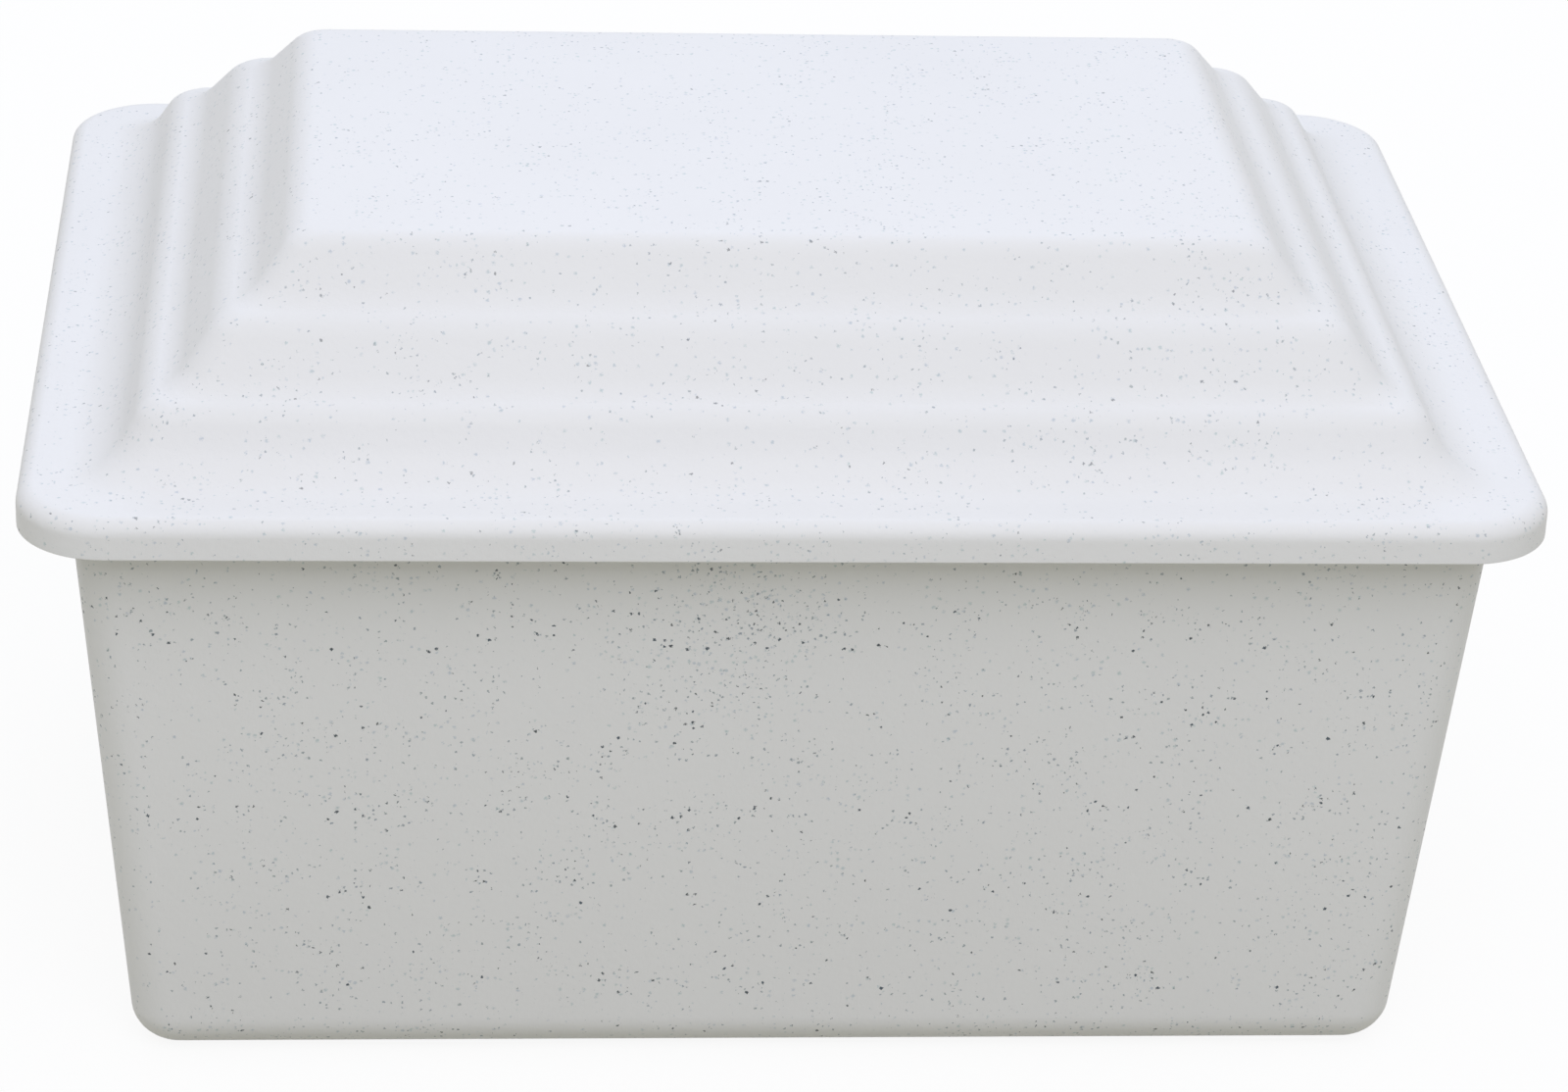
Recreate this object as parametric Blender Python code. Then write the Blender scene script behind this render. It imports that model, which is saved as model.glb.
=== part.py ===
"""Moulded casket: a stepped lid that lifts off a drafted tub and closes on a foam rim seal.

Both shells are drawn as one profile, read inwards from the lid's outer edge, and carried round
rounded-rectangle plans. Each profile is offset by its wall to give the hollow side.
"""

import math

import bmesh
import bpy
from mathutils import Matrix, Vector

# Outer sizes, in metres
LID_LENGTH = 0.610
LID_WIDTH = 0.457
FLANGE_HEIGHT = 0.266  # top of the lid's flat flange above the ground

# Lid edge: a skirt that hangs over the tub's rim, rounded into the flat flange
LID_WALL = 0.004
LID_CORNER_RADIUS = 0.036
SKIRT_HEIGHT = 0.0164
SKIRT_ROUNDING = 0.010
FLANGE_LEDGE = 0.034  # from the outer edge to the foot of the lowest step

# Three steps of the lid: each rises over its run, then a gently rising tread leads to the next foot
LOW_STEP_RUN = 0.015
LOW_STEP_RISE = 0.026
LOW_FOOT_RADIUS = 0.026
LOW_SHOULDER_RADIUS = 0.012
LOW_TREAD_RUN = 0.011
LOW_TREAD_RISE = 0.0015
MID_STEP_RUN = 0.0184
MID_STEP_RISE = 0.024
MID_FOOT_RADIUS = 0.0125
MID_SHOULDER_RADIUS = 0.013
MID_TREAD_RUN = 0.011
MID_TREAD_RISE = 0.0022
TOP_STEP_RUN = 0.0204
TOP_STEP_RISE = 0.0231
TOP_FOOT_RADIUS = 0.014
TOP_SHOULDER_RADIUS = 0.016

# Plan corners where the steps meet along the hips, at the lowest foot and at the plateau
HIP_CORNER_RADIUS = 0.014
PLATEAU_CORNER_RADIUS = 0.009

# Tub: an outward rim, drafted walls and a base that stands on a flat ring
TUB_WALL = 0.0045
TUB_DRAFT = math.radians(4.55)
TUB_CORNER_RADIUS = 0.017
RIM_WIDTH = 0.0147
RIM_FILLET = 0.003
BOTTOM_EDGE_RADIUS = 0.019
FLOOR_CORNER_RADIUS = 0.003
REST_RING_WIDTH = 0.028
RECESS_SLOPE = 0.008
RECESS_DEPTH = 0.003
RECESS_ROUNDING = 0.006

# Foam strip between the rim and the lid
SEAL_WIDTH = 0.008
SEAL_THICKNESS = 0.003
SEAL_SETBACK = 0.001  # from where the lid's underside runs flat

# Clearances
LID_FIT = 0.0015  # skirt to rim, all round
SEAT_GAP = 0.0003  # between pieces that touch
LEAST_RADIUS = 0.0008  # a fillet left where a wall is thicker than its outer rounding

# Facets of a quarter corner in plan, and of one rounded corner in a profile
CORNER_FACETS = 7
ROUND_FACETS = 5
SMOOTH_ANGLE = math.radians(35)

# Places that follow from the sizes: insets are read inwards from the lid's outer edge
LID_SEAT = FLANGE_HEIGHT - LID_WALL
SEAL_BASE = LID_SEAT - SEAT_GAP - SEAL_THICKNESS
RIM_TOP = SEAL_BASE - SEAT_GAP
INNER_ROUNDING = max(SKIRT_ROUNDING - LID_WALL, LEAST_RADIUS)
ROUNDING_ABOVE_RIM = max(INNER_ROUNDING - (LID_SEAT - RIM_TOP), 0.0)
ROUNDING_REACH = INNER_ROUNDING - math.sqrt(INNER_ROUNDING ** 2 - ROUNDING_ABOVE_RIM ** 2)
RIM_INSET = LID_WALL + ROUNDING_REACH + LID_FIT
RIM_CORNER_RADIUS = LID_CORNER_RADIUS - RIM_INSET
SEAL_INSET = LID_WALL + INNER_ROUNDING + SEAL_SETBACK
WALL_TOP_INSET = RIM_INSET + RIM_WIDTH
WALL_BASE_INSET = WALL_TOP_INSET + (RIM_TOP - TUB_WALL) * math.tan(TUB_DRAFT)
LOW_HEAD_INSET = FLANGE_LEDGE + LOW_STEP_RUN
MID_FOOT_INSET = LOW_HEAD_INSET + LOW_TREAD_RUN
MID_HEAD_INSET = MID_FOOT_INSET + MID_STEP_RUN
TOP_FOOT_INSET = MID_HEAD_INSET + MID_TREAD_RUN
PLATEAU_INSET = TOP_FOOT_INSET + TOP_STEP_RUN
MID_FOOT_RISE = LOW_STEP_RISE + LOW_TREAD_RISE
MID_HEAD_RISE = MID_FOOT_RISE + MID_STEP_RISE
TOP_FOOT_RISE = MID_HEAD_RISE + MID_TREAD_RISE
PLATEAU_RISE = TOP_FOOT_RISE + TOP_STEP_RISE


def clear_scene():
    for item in list(bpy.data.objects):
        bpy.data.objects.remove(item, do_unlink=True)


def plastic(name, colour, roughness):
    """A plain Principled material."""
    material = bpy.data.materials.new(name)
    material.use_nodes = True
    shader = material.node_tree.nodes["Principled BSDF"]
    shader.inputs["Base Color"].default_value = (*colour, 1.0)
    shader.inputs["Roughness"].default_value = roughness
    shader.inputs["Metallic"].default_value = 0.0
    return material


def directions(corners):
    """Unit direction of each straight stretch of a profile."""
    places = [Vector(corner[:2]) for corner in corners]
    return [(after - before).normalized() for before, after in zip(places, places[1:])]


def offset_profile(corners, wall):
    """The profile moved by the wall to the right of its path, or to the left if negative."""
    runs = directions(corners)
    moved = []
    for index, (inset, height, radius) in enumerate(corners):
        into = runs[max(index - 1, 0)]
        out = runs[min(index, len(runs) - 1)]
        side = Vector((into.y, -into.x)) + Vector((out.y, -out.x))
        place = Vector((inset, height)) + side * wall / (1.0 + into.dot(out))
        wider = wall * math.copysign(1.0, into.cross(out))
        moved.append((place.x, place.y, max(radius + wider, LEAST_RADIUS) if radius else 0.0))
    return moved


def round_profile(corners):
    """Points (inset, height) along a profile, each inner corner rounded by an arc of its radius.

    Where two arcs ask for more than the straight stretch between them, both give way.
    """
    places = [Vector(corner[:2]) for corner in corners]
    runs = directions(corners)
    lengths = [(after - before).length for before, after in zip(places, places[1:])]
    half_turns = [0.0] + [into.angle(out) / 2 for into, out in zip(runs, runs[1:])] + [0.0]
    tangents = [corner[2] * math.tan(half) for corner, half in zip(corners, half_turns)]
    shares = [min(1.0, length / max(sum(tangents[index:index + 2]), length))
              for index, length in enumerate(lengths)]
    points = [places[0]]
    for index in range(1, len(places) - 1):
        into, out = runs[index - 1], runs[index]
        tangent = tangents[index] * min(shares[index - 1], shares[index])
        start = places[index] - into * tangent
        turn = math.copysign(2 * half_turns[index], into.cross(out))
        radius = tangent / math.tan(half_turns[index])
        centre = start + Vector((-into.y, into.x)) * math.copysign(radius, turn)
        for step in range(ROUND_FACETS + 1):
            swing = Matrix.Rotation(turn * step / ROUND_FACETS, 2)
            points.append(centre + swing @ (start - centre))
    points.append(places[-1])
    return points


def plan_radius(stations, inset):
    """Corner radius in plan at an inset, straight between the stations (inset, radius)."""
    for (near, near_radius), (far, far_radius) in zip(stations, stations[1:]):
        if inset <= far:
            return near_radius + (far_radius - near_radius) * max(inset - near, 0.0) / (far - near)
    return stations[-1][1]


def plan_loop(mesh, inset, height, radius):
    """Vertices of one level rounded rectangle, anticlockwise from above."""
    length = LID_LENGTH / 2 - inset - radius
    width = LID_WIDTH / 2 - inset - radius
    vertices = []
    for quarter, (side_x, side_y) in enumerate(((1, -1), (1, 1), (-1, 1), (-1, -1))):
        for step in range(CORNER_FACETS + 1):
            angle = (quarter - 1 + step / CORNER_FACETS) * math.pi / 2
            vertices.append(mesh.verts.new((side_x * length + radius * math.cos(angle),
                                            side_y * width + radius * math.sin(angle), height)))
    return vertices


def bridge(mesh, loops):
    """Quads between each loop and the next."""
    for near, far in zip(loops, loops[1:]):
        for index in range(len(near)):
            after = (index + 1) % len(near)
            mesh.faces.new((near[index], near[after], far[after], far[index]))


def add_piece(name, mesh, material, height):
    """Close a bmesh into a named object that stands at a height."""
    bmesh.ops.recalc_face_normals(mesh, faces=mesh.faces)
    data = bpy.data.meshes.new(name)
    mesh.to_mesh(data)
    mesh.free()
    data.materials.append(material)
    data.shade_smooth()
    data.set_sharp_from_angle(angle=SMOOTH_ANGLE)
    piece = bpy.data.objects.new(name, data)
    piece.location.z = height
    bpy.context.scene.collection.objects.link(piece)
    return piece


def moulded_shell(name, skin, wall, stations, material, height):
    """A shell of even wall: the skin's profile, its offset inside, and the trimmed edge between them."""
    outside = round_profile(skin)
    inside = round_profile(offset_profile(skin, wall))
    mesh = bmesh.new()
    outer_loops = []
    inner_loops = []
    for outer, inner in zip(outside, inside):
        radius = plan_radius(stations, outer.x)
        outer_loops.append(plan_loop(mesh, outer.x, outer.y, radius))
        inner_radius = max(radius - (inner.x - outer.x), LEAST_RADIUS)
        inner_loops.append(plan_loop(mesh, inner.x, inner.y, inner_radius))
    bridge(mesh, outer_loops[::-1] + inner_loops)
    mesh.faces.new(outer_loops[-1])
    mesh.faces.new(inner_loops[-1])
    return add_piece(name, mesh, material, height)


def lid_shell(material):
    """Skirt, flange and three soft steps up to a flat plateau, with heights from the flange's top."""
    skin = [
        (0.0, -SKIRT_HEIGHT, 0.0),
        (0.0, 0.0, SKIRT_ROUNDING),
        (FLANGE_LEDGE, 0.0, LOW_FOOT_RADIUS),
        (LOW_HEAD_INSET, LOW_STEP_RISE, LOW_SHOULDER_RADIUS),
        (MID_FOOT_INSET, MID_FOOT_RISE, MID_FOOT_RADIUS),
        (MID_HEAD_INSET, MID_HEAD_RISE, MID_SHOULDER_RADIUS),
        (TOP_FOOT_INSET, TOP_FOOT_RISE, TOP_FOOT_RADIUS),
        (PLATEAU_INSET, PLATEAU_RISE, TOP_SHOULDER_RADIUS),
        (PLATEAU_INSET + TOP_SHOULDER_RADIUS, PLATEAU_RISE, 0.0),
    ]
    stations = [
        (0.0, LID_CORNER_RADIUS),
        (FLANGE_LEDGE, HIP_CORNER_RADIUS),
        (PLATEAU_INSET, PLATEAU_CORNER_RADIUS),
    ]
    return moulded_shell("lid_shell", skin, LID_WALL, stations, material, FLANGE_HEIGHT)


def tub_stations():
    """Plan corner radii of the tub from its rim down the wall to its floor."""
    return [
        (RIM_INSET, RIM_CORNER_RADIUS),
        (WALL_TOP_INSET, TUB_CORNER_RADIUS),
        (WALL_BASE_INSET, TUB_CORNER_RADIUS),
        (WALL_BASE_INSET + BOTTOM_EDGE_RADIUS, FLOOR_CORNER_RADIUS),
    ]


def tub_shell(material):
    """Rim, drafted wall, rounded bottom edge and a base that is raised inside its rest ring."""
    recess_inset = WALL_BASE_INSET + BOTTOM_EDGE_RADIUS + REST_RING_WIDTH
    skin = [
        (RIM_INSET, RIM_TOP - TUB_WALL, 0.0),
        (WALL_TOP_INSET, RIM_TOP - TUB_WALL, RIM_FILLET),
        (WALL_BASE_INSET, 0.0, BOTTOM_EDGE_RADIUS),
        (recess_inset, 0.0, RECESS_ROUNDING),
        (recess_inset + RECESS_SLOPE, RECESS_DEPTH, RECESS_ROUNDING),
        (recess_inset + RECESS_SLOPE + RECESS_ROUNDING, RECESS_DEPTH, 0.0),
    ]
    return moulded_shell("tub_shell", skin, -TUB_WALL, tub_stations(), material, 0.0)


def rim_seal(material):
    """Flat foam strip laid on the tub's rim, closed round all four sides."""
    inner_inset = SEAL_INSET + SEAL_WIDTH
    section = [
        (SEAL_INSET, 0.0),
        (SEAL_INSET, SEAL_THICKNESS),
        (inner_inset, SEAL_THICKNESS),
        (inner_inset, 0.0),
    ]
    mesh = bmesh.new()
    loops = []
    for inset, height in section:
        loops.append(plan_loop(mesh, inset, height, plan_radius(tub_stations(), inset)))
    bridge(mesh, loops + loops[:1])
    return add_piece("rim_seal", mesh, material, SEAL_BASE)


def build():
    clear_scene()
    casket = bpy.data.objects.new("casket", None)
    bpy.context.scene.collection.objects.link(casket)
    pieces = [
        tub_shell(plastic("tub_plastic", (0.76, 0.76, 0.74), 0.45)),
        rim_seal(plastic("seal_foam", (0.05, 0.05, 0.055), 0.9)),
        lid_shell(plastic("lid_plastic", (0.80, 0.81, 0.84), 0.45)),
    ]
    for piece in pieces:
        piece.parent = casket


build()
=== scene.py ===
"""Looks of the moulded casket: a stepped lid that closes a drafted tub, both in speckled white plastic.

The lid presses on a foam strip. All three pieces are profiles that one geometry node tree carries round a
rounded-rectangle plan. A profile is drawn from corners (inset from the lid's outer edge, height, rounding),
and a shell's inside is its outside offset by the wall.
"""

import math
from collections import namedtuple

import bpy
from mathutils import Matrix, Vector


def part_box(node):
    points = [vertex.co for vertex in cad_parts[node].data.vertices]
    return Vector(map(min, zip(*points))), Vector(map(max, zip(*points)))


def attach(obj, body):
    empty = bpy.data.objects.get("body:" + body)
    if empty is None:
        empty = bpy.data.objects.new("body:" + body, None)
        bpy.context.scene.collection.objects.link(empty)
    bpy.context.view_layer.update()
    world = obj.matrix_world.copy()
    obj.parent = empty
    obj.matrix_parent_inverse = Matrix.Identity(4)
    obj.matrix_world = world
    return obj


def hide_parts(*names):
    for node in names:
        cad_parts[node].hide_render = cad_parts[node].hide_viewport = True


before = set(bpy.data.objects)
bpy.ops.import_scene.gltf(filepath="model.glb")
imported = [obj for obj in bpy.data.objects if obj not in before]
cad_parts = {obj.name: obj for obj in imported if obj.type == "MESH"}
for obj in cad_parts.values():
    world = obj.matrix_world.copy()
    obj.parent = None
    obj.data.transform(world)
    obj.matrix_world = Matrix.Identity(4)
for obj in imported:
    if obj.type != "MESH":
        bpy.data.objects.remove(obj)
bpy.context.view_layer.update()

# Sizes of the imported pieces, in metres
lid_low, lid_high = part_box("lid_shell")
tub_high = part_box("tub_shell")[1]
seal_low, seal_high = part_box("rim_seal")
LENGTH = lid_high.x - lid_low.x
WIDTH = lid_high.y - lid_low.y
RIM_INSET = lid_high.x - tub_high.x
RIM_TOP = tub_high.z
SEAL_INSET = lid_high.x - seal_high.x

# Lid: a skirt, a flat flange and three steps up to the plateau
LID_WALL = 0.004
LID_CORNER_RADIUS = 0.036
SKIRT_HEIGHT = 0.0164
SKIRT_ROUNDING = 0.007
FLANGE_LEDGE = 0.034
HIP_CORNER_RADIUS = 0.014
PLATEAU_CORNER_RADIUS = 0.009
FLANGE_HEIGHT = lid_low.z + SKIRT_HEIGHT
Step = namedtuple("Step", "run rise tread climb foot shoulder")
LID_STEPS = [
    Step(run=0.0146, rise=0.0253, tread=0.0121, climb=0.0031, foot=0.026, shoulder=0.014),
    Step(run=0.0170, rise=0.0222, tread=0.0125, climb=0.0040, foot=0.018, shoulder=0.020),
    Step(run=0.0176, rise=0.0222, tread=0.0, climb=0.0, foot=0.021, shoulder=0.015),
]

# Tub: a rim, drafted walls, a rounded bottom edge and a base raised inside its rest ring
TUB_WALL = 0.0045
TUB_DRAFT = math.radians(4.55)
TUB_CORNER_RADIUS = 0.017
RIM_WIDTH = 0.0147
RIM_FILLET = 0.003
BOTTOM_EDGE_RADIUS = 0.019
FLOOR_CORNER_RADIUS = 0.003
REST_RING_WIDTH = 0.028
RECESS_SLOPE = 0.008
RECESS_DEPTH = 0.003
RECESS_ROUNDING = 0.006
WALL_TOP_INSET = RIM_INSET + RIM_WIDTH
WALL_BASE_INSET = WALL_TOP_INSET + (RIM_TOP - TUB_WALL) * math.tan(TUB_DRAFT)

# Foam strip
SEAL_WIDTH = 0.008
SEAL_ROUNDING = 0.0007

# How finely the pieces are drawn
TRIM_ROUNDING = 0.0005
LEAST_RADIUS = 0.0008
ROUND_STEPS = 12
CORNER_STEPS = 22
EDGE_SUPPORT = 0.0015
MERGE_DISTANCE = 1e-6

# Camera at the photograph's place, looking at a point just in front of the middle of the tub
CAMERA_LENS = 116.0
CAMERA_AIM = Vector((0.0144, -0.0064, 0.1490))
CAMERA_DISTANCE = 2.2243
CAMERA_HEADING = math.radians(4.89)
CAMERA_PITCH = math.radians(25.85)
CAMERA_ROLL = math.radians(2.31)

# Flecks in the plastic, in layers from sunk and pale to sharp and dark
Layer = namedtuple("Layer", "cells_per_metre radius softness drift_share vein_share first_tone second_tone")
FLECK_LAYERS = {
    "sunk": Layer(cells_per_metre=400.0, radius=0.00085, softness=0.90, drift_share=1.2, vein_share=0.2,
                  first_tone=(0.36, 0.50, 0.50, 1.0), second_tone=(0.34, 0.42, 0.54, 1.0)),
    "grey": Layer(cells_per_metre=420.0, radius=0.00054, softness=0.50, drift_share=1.8, vein_share=0.4,
                  first_tone=(0.19, 0.25, 0.26, 1.0), second_tone=(0.16, 0.22, 0.29, 1.0)),
    "dark": Layer(cells_per_metre=300.0, radius=0.00062, softness=0.35, drift_share=1.6, vein_share=0.4,
                  first_tone=(0.050, 0.065, 0.070, 1.0), second_tone=(0.050, 0.080, 0.110, 1.0)),
}
Grains = namedtuple("Grains", "share strength")
LID_FLECKS = {"sunk": Grains(0.24, 0.55), "grey": Grains(0.13, 0.56), "dark": Grains(-0.08, 0.60)}
TUB_FLECKS = {"sunk": Grains(0.24, 0.55), "grey": Grains(0.24, 0.70), "dark": Grains(0.08, 0.95)}
Patch = namedtuple("Patch", "place radius share")
TUB_THICK_PATCH = Patch(place=(-0.020, -0.205, 0.205), radius=0.055, share=0.85)
LID_PATTERN_SHIFT = (0.31, 0.12, 0.05)
TUB_PATTERN_SHIFT = (0.07, 0.43, 0.22)
GRAIN_SIZES = (0.40, 1.45)
GRAIN_WOBBLE = 0.0018
GRAIN_WOBBLES_PER_METRE = 1400.0
DRIFTS_PER_METRE = 40.0
VEINS_PER_METRE = 38.0
VEIN_WOBBLE = 0.020
VEIN_WIDTH = 0.0022

# Skins of the plastic and the foam: orange peel and grain per metre, and the range of the roughness
Skin = namedtuple("Skin", "peel grain grain_share roughness relief")
PLASTIC_SKIN = Skin(peel=330.0, grain=1500.0, grain_share=0.35, roughness=(0.40, 0.52), relief=0.35)
FOAM_SKIN = Skin(peel=220.0, grain=2600.0, grain_share=0.60, roughness=(0.82, 0.95), relief=0.60)
RELIEF_DEPTH = 0.0004
UNEVEN_PATCHES_PER_METRE = 9.0
PLASTIC_PALE = (0.85, 0.85, 0.85, 1.0)
PLASTIC_DEEP = (0.82, 0.82, 0.82, 1.0)
PLASTIC_SHEEN = 0.2
INSIDE_EXTRA_ROUGHNESS = 0.16
# Foam tones: the darker one is painted shade at the bottom of the pits
FOAM_PIT_SHADE = (0.022, 0.022, 0.024, 1.0)
FOAM_PALE = (0.060, 0.060, 0.064, 1.0)
FOAM_CELLS_PER_METRE = 1100.0
FOAM_PIT_EDGE = (0.15, 0.55)

# Light and floor
WHITE = (1.0, 1.0, 1.0, 1.0)
FLOOR_REACH = 8.0
ROOM_AT_HORIZON = (0.45, 0.45, 0.45, 1.0)
ROOM_OVERHEAD = (0.74, 0.74, 0.74, 1.0)
FLOOR_BOUNCE = (0.46, 0.45, 0.356, 1.0)
FLOOR_GLOW_SHARE = 0.90
Lamp = namedtuple("Lamp", "place size radiance colour")
SOFTBOXES = {
    "front_softbox": Lamp(place=(0.1, -2.06, 2.46), size=2.0, radiance=2.72, colour=(0.86, 0.88, 1.0)),
    "back_softbox": Lamp(place=(0.1, 2.02, 2.10), size=2.0, radiance=1.49, colour=(0.59, 0.71, 1.0)),
}


# Profiles

def directions(corners):
    """Unit direction of each straight stretch of a profile."""
    places = [Vector(corner[:2]) for corner in corners]
    return [(after - before).normalized() for before, after in zip(places, places[1:])]


def offset_profile(corners, wall):
    """The profile moved by the wall to the right of its path, or to the left if negative."""
    runs = directions(corners)
    moved = []
    for index, (inset, height, radius) in enumerate(corners):
        into = runs[max(index - 1, 0)]
        out = runs[min(index, len(runs) - 1)]
        side = Vector((into.y, -into.x)) + Vector((out.y, -out.x))
        place = Vector((inset, height)) + side * wall / (1.0 + into.dot(out))
        wider = wall * math.copysign(1.0, into.cross(out))
        moved.append((place.x, place.y, max(radius + wider, LEAST_RADIUS) if radius else 0.0))
    return moved


def stretch_supports(start, end):
    """Points near both ends of a straight stretch, which keep it flat under smooth shading."""
    length = (end - start).length
    if length < 4 * EDGE_SUPPORT:
        return []
    step = (end - start) * EDGE_SUPPORT / length
    return [start + step, end - step]


def round_profile(corners):
    """Points (inset, height) along a profile, with each inner corner rounded by an arc of its radius."""
    places = [Vector(corner[:2]) for corner in corners]
    runs = directions(corners)
    lengths = [(after - before).length for before, after in zip(places, places[1:])]
    half_turns = [0.0] + [into.angle(out) / 2 for into, out in zip(runs, runs[1:])] + [0.0]
    tangents = [corner[2] * math.tan(half) for corner, half in zip(corners, half_turns)]
    shares = [min(1.0, length / max(sum(tangents[index:index + 2]), length))
              for index, length in enumerate(lengths)]
    points = [places[0]]
    for index in range(1, len(places) - 1):
        into, out = runs[index - 1], runs[index]
        tangent = tangents[index] * min(shares[index - 1], shares[index])
        start = places[index] - into * tangent
        points += stretch_supports(points[-1], start)
        turn = math.copysign(2 * half_turns[index], into.cross(out))
        radius = tangent / math.tan(half_turns[index])
        centre = start + Vector((-into.y, into.x)) * math.copysign(radius, turn)
        for step in range(ROUND_STEPS + 1):
            points.append(centre + Matrix.Rotation(turn * step / ROUND_STEPS, 2) @ (start - centre))
    points += stretch_supports(points[-1], places[-1])
    points.append(places[-1])
    return points


def plan_radius(stations, inset):
    """Corner radius in plan at an inset, straight between the stations (inset, radius)."""
    for (near, near_radius), (far, far_radius) in zip(stations, stations[1:]):
        if inset <= far:
            return near_radius + (far_radius - near_radius) * max(inset - near, 0.0) / (far - near)
    return stations[-1][1]


def with_trim(corners, middle):
    """A skin that starts at the middle of the trimmed edge and turns into its first corner."""
    first = corners[0]
    return [middle, (first[0], first[1], TRIM_ROUNDING)] + corners[1:]


def skin_points(corners, stations):
    """Points (inset, plan corner radius, height) of one skin, with the radius cut to the room there is."""
    points = []
    for point in round_profile(corners):
        radius = max(plan_radius(stations, point.x), LEAST_RADIUS)
        points.append((point.x, min(radius, WIDTH / 2 - point.x), point.y))
    return points


def shell_profile(outside, wall, stations):
    """Both skins of a shell as one path from pole to pole, and the point where the outside ends."""
    inside = offset_profile(outside, wall)
    inside[-1] = (WIDTH / 2, inside[-1][1], 0.0)
    middle = ((outside[0][0] + inside[0][0]) / 2, (outside[0][1] + inside[0][1]) / 2, 0.0)
    within = [(inset + abs(wall), radius - abs(wall)) for inset, radius in stations]
    outer = skin_points(with_trim(outside, middle), stations)
    inner = skin_points(with_trim(inside, middle), stations[:1] + within)
    return outer[::-1] + inner[1:], len(outer)


def lid_profile():
    """Skirt, flange and soft steps up to the plateau, drawn to the middle line of the lid."""
    corners = [
        (0.0, lid_low.z, 0.0),
        (0.0, FLANGE_HEIGHT, SKIRT_ROUNDING),
    ]
    inset = FLANGE_LEDGE
    height = FLANGE_HEIGHT
    for step in LID_STEPS:
        corners.append((inset, height, step.foot))
        inset += step.run
        height += step.rise
        corners.append((inset, height, step.shoulder))
        inset += step.tread
        height += step.climb
    corners.append((WIDTH / 2, height, 0.0))
    stations = [
        (0.0, LID_CORNER_RADIUS),
        (FLANGE_LEDGE, HIP_CORNER_RADIUS),
        (inset, PLATEAU_CORNER_RADIUS),
    ]
    return shell_profile(corners, LID_WALL, stations)


def tub_stations():
    """Plan corner radii of the tub from its rim down the wall to its floor."""
    return [
        (RIM_INSET, LID_CORNER_RADIUS - RIM_INSET),
        (WALL_TOP_INSET, TUB_CORNER_RADIUS),
        (WALL_BASE_INSET, TUB_CORNER_RADIUS),
        (WALL_BASE_INSET + BOTTOM_EDGE_RADIUS, FLOOR_CORNER_RADIUS),
    ]


def tub_profile():
    """Rim, drafted wall, rounded bottom edge and raised base, drawn to the middle line of the tub."""
    recess_inset = WALL_BASE_INSET + BOTTOM_EDGE_RADIUS + REST_RING_WIDTH
    corners = [
        (RIM_INSET, RIM_TOP - TUB_WALL, 0.0),
        (WALL_TOP_INSET, RIM_TOP - TUB_WALL, RIM_FILLET),
        (WALL_BASE_INSET, 0.0, BOTTOM_EDGE_RADIUS),
        (recess_inset, 0.0, RECESS_ROUNDING),
        (recess_inset + RECESS_SLOPE, RECESS_DEPTH, RECESS_ROUNDING),
        (WIDTH / 2, RECESS_DEPTH, 0.0),
    ]
    return shell_profile(corners, -TUB_WALL, tub_stations())


def seal_profile():
    """Closed section of the foam strip, from the middle of its underside round and back."""
    inner_inset = SEAL_INSET + SEAL_WIDTH
    middle = (SEAL_INSET + SEAL_WIDTH / 2, seal_low.z, 0.0)
    corners = [
        middle,
        (inner_inset, seal_low.z, SEAL_ROUNDING),
        (inner_inset, seal_high.z, SEAL_ROUNDING),
        (SEAL_INSET, seal_high.z, SEAL_ROUNDING),
        (SEAL_INSET, seal_low.z, SEAL_ROUNDING),
        middle,
    ]
    points = skin_points(corners, tub_stations())
    return points, len(points)


# Node helpers

def make(tree, kind, inputs=None, **settings):
    """A node with its settings and its inputs, each given as a value or as the socket that feeds it."""
    node = tree.nodes.new(kind)
    for name, value in settings.items():
        setattr(node, name, value)
    for key, value in (inputs or {}).items():
        if isinstance(value, bpy.types.NodeSocket):
            tree.links.new(value, node.inputs[key])
        else:
            node.inputs[key].default_value = value
    return node


def calc(tree, operation, first, second=0.0, third=0.0):
    """Result of one sum of up to three values."""
    return make(tree, "ShaderNodeMath", {0: first, 1: second, 2: third}, operation=operation).outputs[0]


def blend_colour(tree, factor, first, second):
    """Mix of two colours, which are the mix node's sockets 6 and 7."""
    return make(tree, "ShaderNodeMix", {"Factor": factor, 6: first, 7: second}, data_type="RGBA").outputs[2]


def fade_out(tree, value, start, end, top=1.0):
    """A soft fall from the top to nothing while a value goes from its start to its end."""
    return make(tree, "ShaderNodeMapRange", {
        "Value": value,
        "From Min": start,
        "From Max": end,
        "To Min": top,
        "To Max": 0.0,
    }, interpolation_type="SMOOTHSTEP").outputs[0]


def range_of(tree, value, low, high):
    """A value from 0 to 1 spread between two limits."""
    return make(tree, "ShaderNodeMapRange", {"Value": value, "To Min": low, "To Max": high}).outputs[0]


def new_tree(name, kind, inputs, outputs):
    """A node group with named sockets, its input sockets and its output node."""
    tree = bpy.data.node_groups.new(name, kind)
    for socket, socket_kind in inputs:
        tree.interface.new_socket(socket, in_out="INPUT", socket_type=socket_kind)
    for socket, socket_kind in outputs:
        tree.interface.new_socket(socket, in_out="OUTPUT", socket_type=socket_kind)
    return tree, make(tree, "NodeGroupInput").outputs, make(tree, "NodeGroupOutput").inputs


# Sweep of a profile round a rounded-rectangle plan

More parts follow.
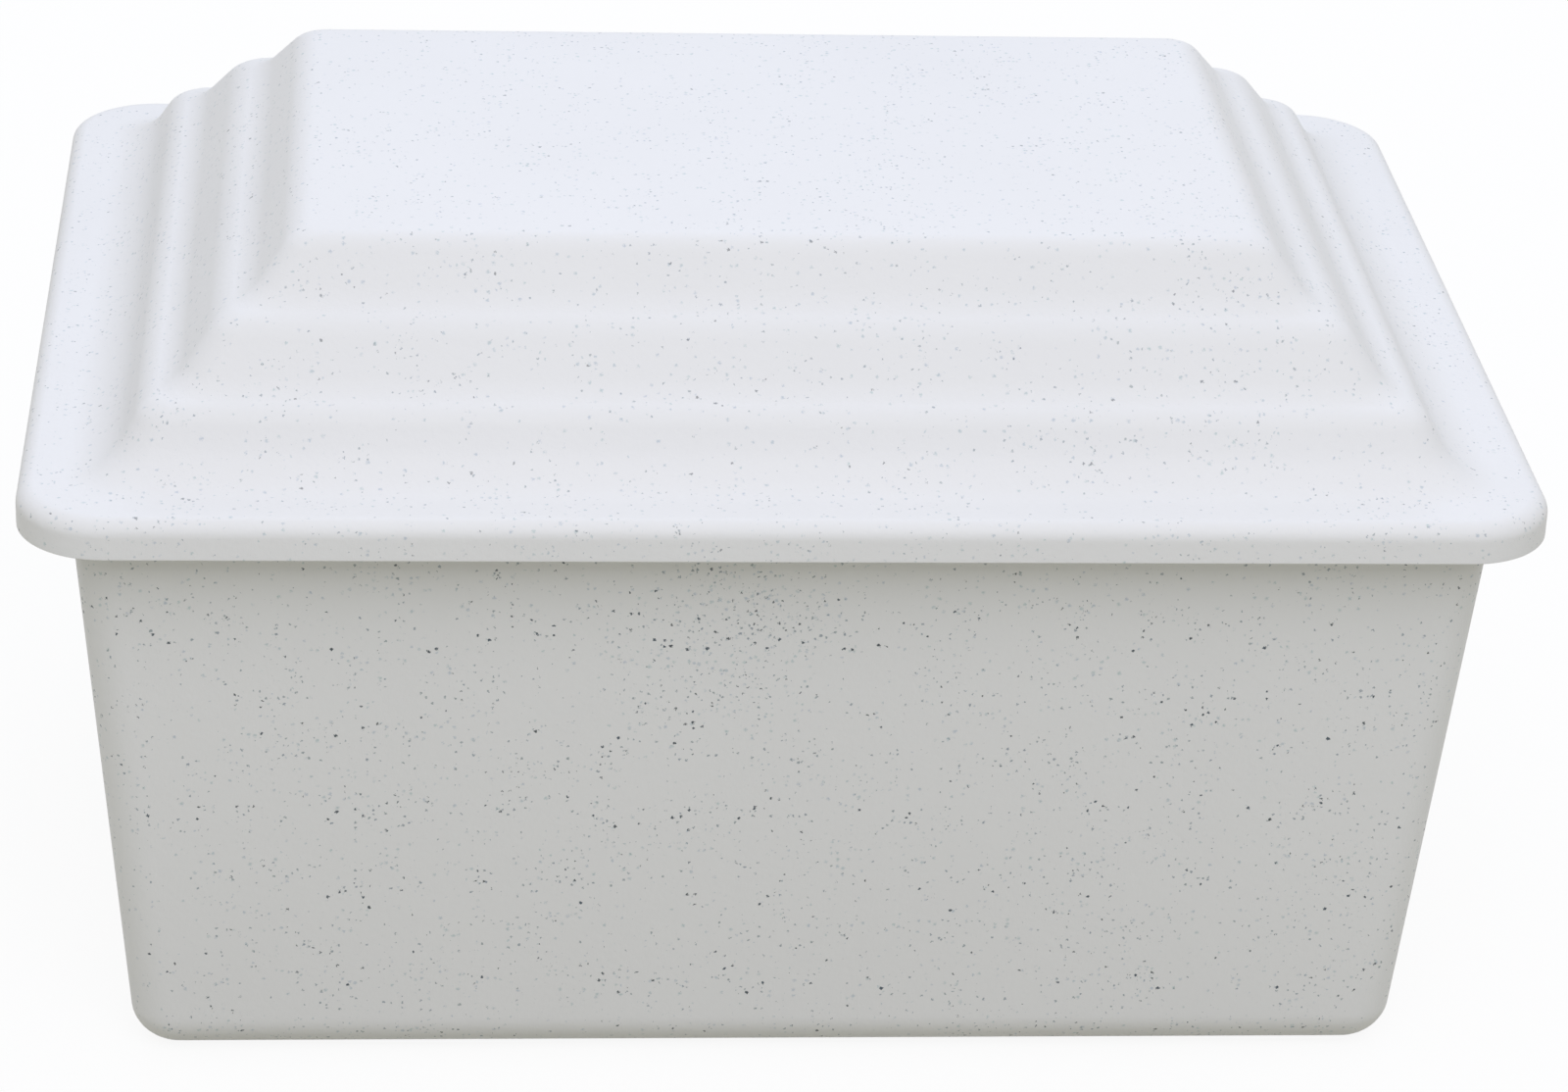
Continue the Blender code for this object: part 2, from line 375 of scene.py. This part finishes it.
def plan_sweep_tree():
    """A grid of profile points by plan points, bent round the plan and closed at its seam and poles."""
    tree, given, result = new_tree("plan_sweep", "GeometryNodeTree", [
        ("Profile", "NodeSocketObject"),
        ("Profile Points", "NodeSocketInt"),
        ("Outside Points", "NodeSocketInt"),
        ("Length", "NodeSocketFloat"),
        ("Width", "NodeSocketFloat"),
        ("Corner Steps", "NodeSocketInt"),
        ("Edge Support", "NodeSocketFloat"),
        ("Finish", "NodeSocketMaterial"),
    ], [("Piece", "NodeSocketGeometry")])
    # Each corner has its arc's points and one support point on either side, and the seam is doubled
    corner_points = calc(tree, "ADD", given["Corner Steps"], 3)
    plan_points = calc(tree, "MULTIPLY_ADD", corner_points, 4, 1)
    grid = make(tree, "GeometryNodeMeshGrid", {
        "Size X": 1.0,
        "Size Y": 1.0,
        "Vertices X": given["Profile Points"],
        "Vertices Y": plan_points,
    }).outputs["Mesh"]
    position = make(tree, "GeometryNodeInputPosition").outputs[0]
    place = make(tree, "ShaderNodeSeparateXYZ", {0: position}).outputs
    last_row = calc(tree, "SUBTRACT", given["Profile Points"], 1)
    last_column = calc(tree, "SUBTRACT", plan_points, 1)
    row = calc(tree, "ROUND", calc(tree, "MULTIPLY", calc(tree, "ADD", place["X"], 0.5), last_row))
    column = calc(tree, "ROUND", calc(tree, "MULTIPLY", calc(tree, "ADD", place["Y"], 0.5), last_column))
    marked = make(tree, "GeometryNodeStoreNamedAttribute", {
        "Geometry": grid,
        "Name": "inside",
        "Value": calc(tree, "GREATER_THAN", row, given["Outside Points"]),
    }, data_type="FLOAT", domain="POINT").outputs[0]

    # Which corner a plan point belongs to, and how far round its arc
    corner = calc(tree, "FLOOR", calc(tree, "DIVIDE", column, corner_points))
    quarter = calc(tree, "FLOORED_MODULO", corner, 4.0)
    step = calc(tree, "SUBTRACT", calc(tree, "FLOORED_MODULO", column, corner_points), 1)
    arc_step = calc(tree, "MAXIMUM", calc(tree, "MINIMUM", step, given["Corner Steps"]), 0.0)
    arc_share = calc(tree, "DIVIDE", arc_step, given["Corner Steps"])
    turned = calc(tree, "ADD", calc(tree, "SUBTRACT", quarter, 1), arc_share)
    angle = calc(tree, "MULTIPLY", turned, math.pi / 2)
    cosine = calc(tree, "COSINE", angle)
    sine = calc(tree, "SINE", angle)
    from_middle = calc(tree, "SUBTRACT", 1.5, quarter)
    side_x = calc(tree, "SIGN", from_middle)
    side_y = calc(tree, "SIGN", calc(tree, "SUBTRACT", 1.0, calc(tree, "ABSOLUTE", from_middle)))

    # The profile point of a row, and the room that its inset and radius leave in the plan
    profile = make(tree, "GeometryNodeObjectInfo", {"Object": given["Profile"]}).outputs["Geometry"]
    sample = make(tree, "GeometryNodeSampleIndex", {
        "Geometry": profile,
        "Value": position,
        "Index": make(tree, "FunctionNodeFloatToInt", {0: row}, rounding_mode="ROUND").outputs[0],
    }, data_type="FLOAT_VECTOR", domain="POINT").outputs["Value"]
    inset, radius, height = make(tree, "ShaderNodeSeparateXYZ", {0: sample}).outputs
    taken = calc(tree, "ADD", inset, radius)
    room_x = calc(tree, "SUBTRACT", calc(tree, "MULTIPLY", given["Length"], 0.5), taken)
    room_y = calc(tree, "SUBTRACT", calc(tree, "MULTIPLY", given["Width"], 0.5), taken)
    least_room = calc(tree, "MINIMUM", given["Edge Support"], calc(tree, "MINIMUM", room_x, room_y))
    lead = calc(tree, "MULTIPLY", calc(tree, "SUBTRACT", step, arc_step), least_room)
    ahead_x = calc(tree, "MULTIPLY", lead, sine)
    ahead_y = calc(tree, "MULTIPLY", lead, cosine)
    round_x = calc(tree, "SUBTRACT", calc(tree, "MULTIPLY", radius, cosine), ahead_x)
    round_y = calc(tree, "ADD", calc(tree, "MULTIPLY", radius, sine), ahead_y)
    bent = make(tree, "GeometryNodeSetPosition", {
        "Geometry": marked,
        "Position": make(tree, "ShaderNodeCombineXYZ", {
            "X": calc(tree, "ADD", calc(tree, "MULTIPLY", side_x, room_x), round_x),
            "Y": calc(tree, "ADD", calc(tree, "MULTIPLY", side_y, room_y), round_y),
            "Z": height,
        }).outputs[0],
    }).outputs[0]

    closed = make(tree, "GeometryNodeMergeByDistance", {
        "Geometry": bent,
        "Distance": MERGE_DISTANCE,
    }).outputs[0]
    smooth = make(tree, "GeometryNodeSetShadeSmooth", {0: closed}).outputs[0]
    realised = make(tree, "GeometryNodeRealizeInstances", {"Geometry": smooth}).outputs[0]
    finished = make(tree, "GeometryNodeSetMaterial", {
        "Geometry": realised,
        "Material": given["Finish"],
    }).outputs[0]
    tree.links.new(finished, result["Piece"])
    return tree


def swept_piece(name, tree, profile, material):
    """A plain mesh object of a profile carried round the plan by the tree."""
    points, outside_points = profile
    path = bpy.data.meshes.new(name + "_path")
    path.from_pydata(points, [(index, index + 1) for index in range(len(points) - 1)], [])
    path_object = bpy.data.objects.new(name + "_path", path)
    bpy.context.scene.collection.objects.link(path_object)
    host = bpy.data.objects.new(name, bpy.data.meshes.new(name))
    bpy.context.scene.collection.objects.link(host)
    modifier = host.modifiers.new("plan_sweep", "NODES")
    modifier.node_group = tree
    values = {
        "Profile": path_object,
        "Profile Points": len(points),
        "Outside Points": outside_points,
        "Length": LENGTH,
        "Width": WIDTH,
        "Corner Steps": CORNER_STEPS,
        "Edge Support": EDGE_SUPPORT,
        "Finish": material,
    }
    for item in tree.interface.items_tree:
        if item.in_out == "INPUT":
            modifier[item.identifier] = values[item.name]
    depsgraph = bpy.context.evaluated_depsgraph_get()
    swept = bpy.data.meshes.new_from_object(host.evaluated_get(depsgraph), depsgraph=depsgraph)
    host.modifiers.remove(modifier)
    host.data = swept
    swept.name = name
    bpy.data.objects.remove(path_object)
    return host


# Shared finish groups

def bent_place(tree, place, waves, reach):
    """Coordinates pushed about by a noise of so many waves per metre."""
    wobble = make(tree, "ShaderNodeTexNoise", {
        "Vector": place,
        "Scale": waves,
        "Detail": 1.0,
    }).outputs["Color"]
    shift = make(tree, "ShaderNodeVectorMath", {
        0: wobble,
        1: (0.5, 0.5, 0.5),
    }, operation="SUBTRACT").outputs[0]
    return make(tree, "ShaderNodeVectorMath", {
        0: shift,
        1: (reach, reach, reach),
        2: place,
    }, operation="MULTIPLY_ADD").outputs[0]


def pigment_flow_group():
    """How the pigment was carried in the mould: where it lies in thick drifts and along thin veins."""
    tree, given, result = new_tree("pigment_flow", "ShaderNodeTree", [
        ("Coordinates", "NodeSocketVector"),
    ], [("Drift", "NodeSocketFloat"), ("Vein", "NodeSocketFloat")])
    place = given["Coordinates"]
    drifts = make(tree, "ShaderNodeTexNoise", {
        "Vector": place,
        "Scale": DRIFTS_PER_METRE,
        "Detail": 4.0,
        "Roughness": 0.62,
    }).outputs[0]
    tree.links.new(calc(tree, "SUBTRACT", drifts, 0.5), result["Drift"])
    veins = make(tree, "ShaderNodeTexVoronoi", {
        "Vector": bent_place(tree, place, VEINS_PER_METRE, VEIN_WOBBLE),
        "Scale": VEINS_PER_METRE,
    }, feature="DISTANCE_TO_EDGE").outputs["Distance"]
    from_vein = calc(tree, "DIVIDE", veins, VEINS_PER_METRE)
    tree.links.new(fade_out(tree, from_vein, 0.0, VEIN_WIDTH), result["Vein"])
    return tree


def fleck_group():
    """Scattered grains of pigment, of which a share is shown, each with a size and a tone of its own."""
    tree, given, result = new_tree("flecks", "ShaderNodeTree", [
        ("Coordinates", "NodeSocketVector"),
        ("Cells per Metre", "NodeSocketFloat"),
        ("Grain Radius", "NodeSocketFloat"),
        ("Softness", "NodeSocketFloat"),
        ("Share", "NodeSocketFloat"),
    ], [("Mask", "NodeSocketFloat"), ("Tone", "NodeSocketFloat")])
    cells = make(tree, "ShaderNodeTexVoronoi", {
        "Vector": bent_place(tree, given["Coordinates"], GRAIN_WOBBLES_PER_METRE, GRAIN_WOBBLE),
        "Scale": given["Cells per Metre"],
    }).outputs
    reach = calc(tree, "DIVIDE", cells["Distance"], given["Cells per Metre"])
    chance, size, tone = make(tree, "ShaderNodeSeparateColor", {0: cells["Color"]}).outputs
    grown = calc(tree, "MULTIPLY", given["Grain Radius"], range_of(tree, size, *GRAIN_SIZES))
    core = calc(tree, "MULTIPLY", grown, calc(tree, "SUBTRACT", 1.0, given["Softness"]))
    grain = fade_out(tree, reach, core, grown)
    shown = calc(tree, "LESS_THAN", chance, given["Share"])
    tree.links.new(calc(tree, "MULTIPLY", grain, shown), result["Mask"])
    tree.links.new(tone, result["Tone"])
    return tree


def moulded_skin_group():
    """Height and unevenness of a moulded skin: a soft orange peel with a fine grain on it."""
    tree, given, result = new_tree("moulded_skin", "ShaderNodeTree", [
        ("Coordinates", "NodeSocketVector"),
        ("Peel per Metre", "NodeSocketFloat"),
        ("Grain per Metre", "NodeSocketFloat"),
        ("Grain Share", "NodeSocketFloat"),
    ], [("Height", "NodeSocketFloat"), ("Unevenness", "NodeSocketFloat")])
    peel = make(tree, "ShaderNodeTexNoise", {
        "Vector": given["Coordinates"],
        "Scale": given["Peel per Metre"],
        "Detail": 2.0,
        "Roughness": 0.5,
    }).outputs[0]
    grain = make(tree, "ShaderNodeTexNoise", {
        "Vector": given["Coordinates"],
        "Scale": given["Grain per Metre"],
        "Detail": 2.0,
        "Roughness": 0.6,
    }).outputs[0]
    fine = calc(tree, "MULTIPLY", grain, given["Grain Share"])
    tree.links.new(calc(tree, "ADD", peel, fine), result["Height"])
    broad = make(tree, "ShaderNodeTexNoise", {
        "Vector": given["Coordinates"],
        "Scale": UNEVEN_PATCHES_PER_METRE,
        "Detail": 3.0,
    }).outputs[0]
    tree.links.new(broad, result["Unevenness"])
    return tree


# Materials

def new_material(name):
    """A node material, its tree and its shader."""
    material = bpy.data.materials.new(name)
    material.use_nodes = True
    return material, material.node_tree, material.node_tree.nodes["Principled BSDF"]


def thicker_near(tree, patch):
    """Extra share of grains round the middle of a patch."""
    reach = make(tree, "ShaderNodeVectorMath", {
        0: make(tree, "ShaderNodeTexCoord").outputs["Object"],
        1: patch.place,
    }, operation="DISTANCE").outputs["Value"]
    return fade_out(tree, reach, 0.0, patch.radius, patch.share)


def laid_relief(tree, skin_relief, place, skin):
    """Outputs of the moulded relief, laid on a material with the scales of its skin."""
    return make(tree, "ShaderNodeGroup", {
        "Coordinates": place,
        "Peel per Metre": skin.peel,
        "Grain per Metre": skin.grain,
        "Grain Share": skin.grain_share,
    }, node_tree=skin_relief).outputs


def dress(tree, shader, colour, roughness, height, skin):
    """Give a shader its colour, its roughness and the relief of its skin."""
    tree.links.new(colour, shader.inputs["Base Color"])
    tree.links.new(roughness, shader.inputs["Roughness"])
    bump = make(tree, "ShaderNodeBump", {
        "Strength": skin.relief,
        "Distance": RELIEF_DEPTH,
        "Height": height,
    }).outputs[0]
    tree.links.new(bump, shader.inputs["Normal"])


def speckled_plastic(name, groups, shift, mixture, patch=None):
    """Satin white plastic with grains of pigment at several depths."""
    flow, flecks, skin_relief = groups
    material, tree, shader = new_material(name)
    place = make(tree, "ShaderNodeMapping", {
        "Vector": make(tree, "ShaderNodeTexCoord").outputs["Object"],
        "Location": shift,
    }).outputs[0]
    relief = laid_relief(tree, skin_relief, place, PLASTIC_SKIN)
    carried = make(tree, "ShaderNodeGroup", {"Coordinates": place}, node_tree=flow).outputs

    extra = thicker_near(tree, patch) if patch else 0.0
    colour = blend_colour(tree, relief["Unevenness"], PLASTIC_PALE, PLASTIC_DEEP)
    for depth, layer in FLECK_LAYERS.items():
        share = calc(tree, "ADD", extra, mixture[depth].share)
        share = calc(tree, "MULTIPLY_ADD", carried["Drift"], layer.drift_share, share)
        share = calc(tree, "MULTIPLY_ADD", carried["Vein"], layer.vein_share, share)
        grains = make(tree, "ShaderNodeGroup", {
            "Coordinates": place,
            "Cells per Metre": layer.cells_per_metre,
            "Grain Radius": layer.radius,
            "Softness": layer.softness,
            "Share": share,
        }, node_tree=flecks).outputs
        pigment = blend_colour(tree, grains["Tone"], layer.first_tone, layer.second_tone)
        cover = calc(tree, "MULTIPLY", grains["Mask"], mixture[depth].strength)
        colour = blend_colour(tree, cover, colour, pigment)

    inside = make(tree, "ShaderNodeAttribute", attribute_name="inside").outputs["Fac"]
    satin = range_of(tree, relief["Unevenness"], *PLASTIC_SKIN.roughness)
    roughness = calc(tree, "MULTIPLY_ADD", inside, INSIDE_EXTRA_ROUGHNESS, satin)
    dress(tree, shader, colour, roughness, relief["Height"], PLASTIC_SKIN)
    shader.inputs["Specular IOR Level"].default_value = PLASTIC_SHEEN
    return material


def closed_cell_foam(name, skin_relief):
    """Dark foam with fine open pits along its cut faces, each pit painted darker as shade."""
    material, tree, shader = new_material(name)
    place = make(tree, "ShaderNodeTexCoord").outputs["Object"]
    cells = make(tree, "ShaderNodeTexVoronoi", {
        "Vector": place,
        "Scale": FOAM_CELLS_PER_METRE,
    }).outputs["Distance"]
    pits = make(tree, "ShaderNodeMapRange", {
        "Value": cells,
        "From Min": FOAM_PIT_EDGE[0],
        "From Max": FOAM_PIT_EDGE[1],
    }).outputs[0]
    relief = laid_relief(tree, skin_relief, place, FOAM_SKIN)
    # Painted shade: the colour darkens towards the middle of each pit, where the bump is lowest
    colour = blend_colour(tree, pits, FOAM_PIT_SHADE, FOAM_PALE)
    roughness = range_of(tree, relief["Unevenness"], *FOAM_SKIN.roughness)
    height = calc(tree, "ADD", pits, relief["Height"])
    dress(tree, shader, colour, roughness, height, FOAM_SKIN)
    return material


# Stage

def seen_directly(tree):
    """1 for rays that show the background: straight from the camera, mirrored or through glass."""
    rays = make(tree, "ShaderNodeLightPath").outputs
    mirrored = calc(tree, "MAXIMUM", rays["Is Glossy Ray"], rays["Is Transmission Ray"])
    return calc(tree, "MAXIMUM", rays["Is Camera Ray"], mirrored)


def pale_floor():
    """A wide floor that shows white with the casket's soft shadow and throws back a weaker, warm light."""
    corners = [(x * FLOOR_REACH, y * FLOOR_REACH, 0.0) for x, y in ((-1, -1), (1, -1), (1, 1), (-1, 1))]
    mesh = bpy.data.meshes.new("floor")
    mesh.from_pydata(corners, [], [(0, 1, 2, 3)])
    floor = bpy.data.objects.new("floor", mesh)
    bpy.context.scene.collection.objects.link(floor)
    material = bpy.data.materials.new("floor_paper")
    material.use_nodes = True
    tree = material.node_tree
    tree.nodes.clear()
    shown = seen_directly(tree)
    colour = blend_colour(tree, shown, FLOOR_BOUNCE, WHITE)
    paper = make(tree, "ShaderNodeBsdfDiffuse", {"Color": colour}).outputs[0]
    white = make(tree, "ShaderNodeEmission", {"Color": WHITE, "Strength": 1.0}).outputs[0]
    share = calc(tree, "MULTIPLY", shown, FLOOR_GLOW_SHARE)
    mixed = make(tree, "ShaderNodeMixShader", {0: share, 1: paper, 2: white}).outputs[0]
    make(tree, "ShaderNodeOutputMaterial", {"Surface": mixed})
    mesh.materials.append(material)


def soft_room():
    """Soft light that grows from the horizon to the ceiling, with a white background."""
    world = bpy.data.worlds.new("soft_room")
    world.use_nodes = True
    bpy.context.scene.world = world
    tree = world.node_tree
    tree.nodes.clear()
    way = make(tree, "ShaderNodeTexCoord").outputs["Generated"]
    upward = make(tree, "ShaderNodeSeparateXYZ", {0: way}).outputs["Z"]
    glow = blend_colour(tree, upward, ROOM_AT_HORIZON, ROOM_OVERHEAD)
    light = make(tree, "ShaderNodeBackground", {"Color": glow, "Strength": 1.0}).outputs[0]
    white = make(tree, "ShaderNodeBackground", {"Color": WHITE, "Strength": 1.0}).outputs[0]
    mixed = make(tree, "ShaderNodeMixShader", {0: seen_directly(tree), 1: light, 2: white}).outputs[0]
    make(tree, "ShaderNodeOutputWorld", {"Surface": mixed})


def soft_lamp(name, lamp):
    """A square lamp of even brightness that faces the middle of the casket."""
    data = bpy.data.lights.new(name, "AREA")
    data.size = lamp.size
    data.energy = lamp.radiance * math.pi * lamp.size * lamp.size
    data.color = lamp.colour
    lamp_object = bpy.data.objects.new(name, data)
    lamp_object.location = lamp.place
    lamp_object.rotation_euler = (CAMERA_AIM - Vector(lamp.place)).to_track_quat("-Z", "Y").to_euler()
    bpy.context.scene.collection.objects.link(lamp_object)


def photo_camera():
    """Camera at the photograph's viewing angle."""
    data = bpy.data.cameras.new("photo_camera")
    data.lens = CAMERA_LENS
    camera = bpy.data.objects.new("photo_camera", data)
    heading = Matrix.Rotation(-CAMERA_HEADING, 4, "Z")
    pitch = Matrix.Rotation(math.pi / 2 - CAMERA_PITCH, 4, "X")
    roll = Matrix.Rotation(CAMERA_ROLL, 4, "Z")
    back = Matrix.Translation((0.0, 0.0, CAMERA_DISTANCE))
    camera.matrix_world = Matrix.Translation(CAMERA_AIM) @ heading @ pitch @ roll @ back
    bpy.context.scene.collection.objects.link(camera)
    bpy.context.scene.camera = camera


def place_piece(piece, body, node):
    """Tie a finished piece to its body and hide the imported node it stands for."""
    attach(piece, body)
    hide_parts(node)


bpy.context.scene.view_settings.view_transform = "Standard"
photo_camera()
soft_room()
for lamp_name, lamp in SOFTBOXES.items():
    soft_lamp(lamp_name, lamp)
pale_floor()

sweep = plan_sweep_tree()
skin_relief = moulded_skin_group()
groups = (pigment_flow_group(), fleck_group(), skin_relief)
lid_finish = speckled_plastic("lid_speckle", groups, LID_PATTERN_SHIFT, LID_FLECKS)
tub_finish = speckled_plastic("tub_speckle", groups, TUB_PATTERN_SHIFT, TUB_FLECKS, TUB_THICK_PATCH)
foam_finish = closed_cell_foam("seal_foam", skin_relief)

lid = swept_piece("stepped_lid", sweep, lid_profile(), lid_finish)
place_piece(lid, "lid", "lid_shell")
tub = swept_piece("drafted_tub", sweep, tub_profile(), tub_finish)
place_piece(tub, "tub", "tub_shell")
foam_strip = swept_piece("foam_rim_strip", sweep, seal_profile(), foam_finish)
place_piece(foam_strip, "tub", "rim_seal")
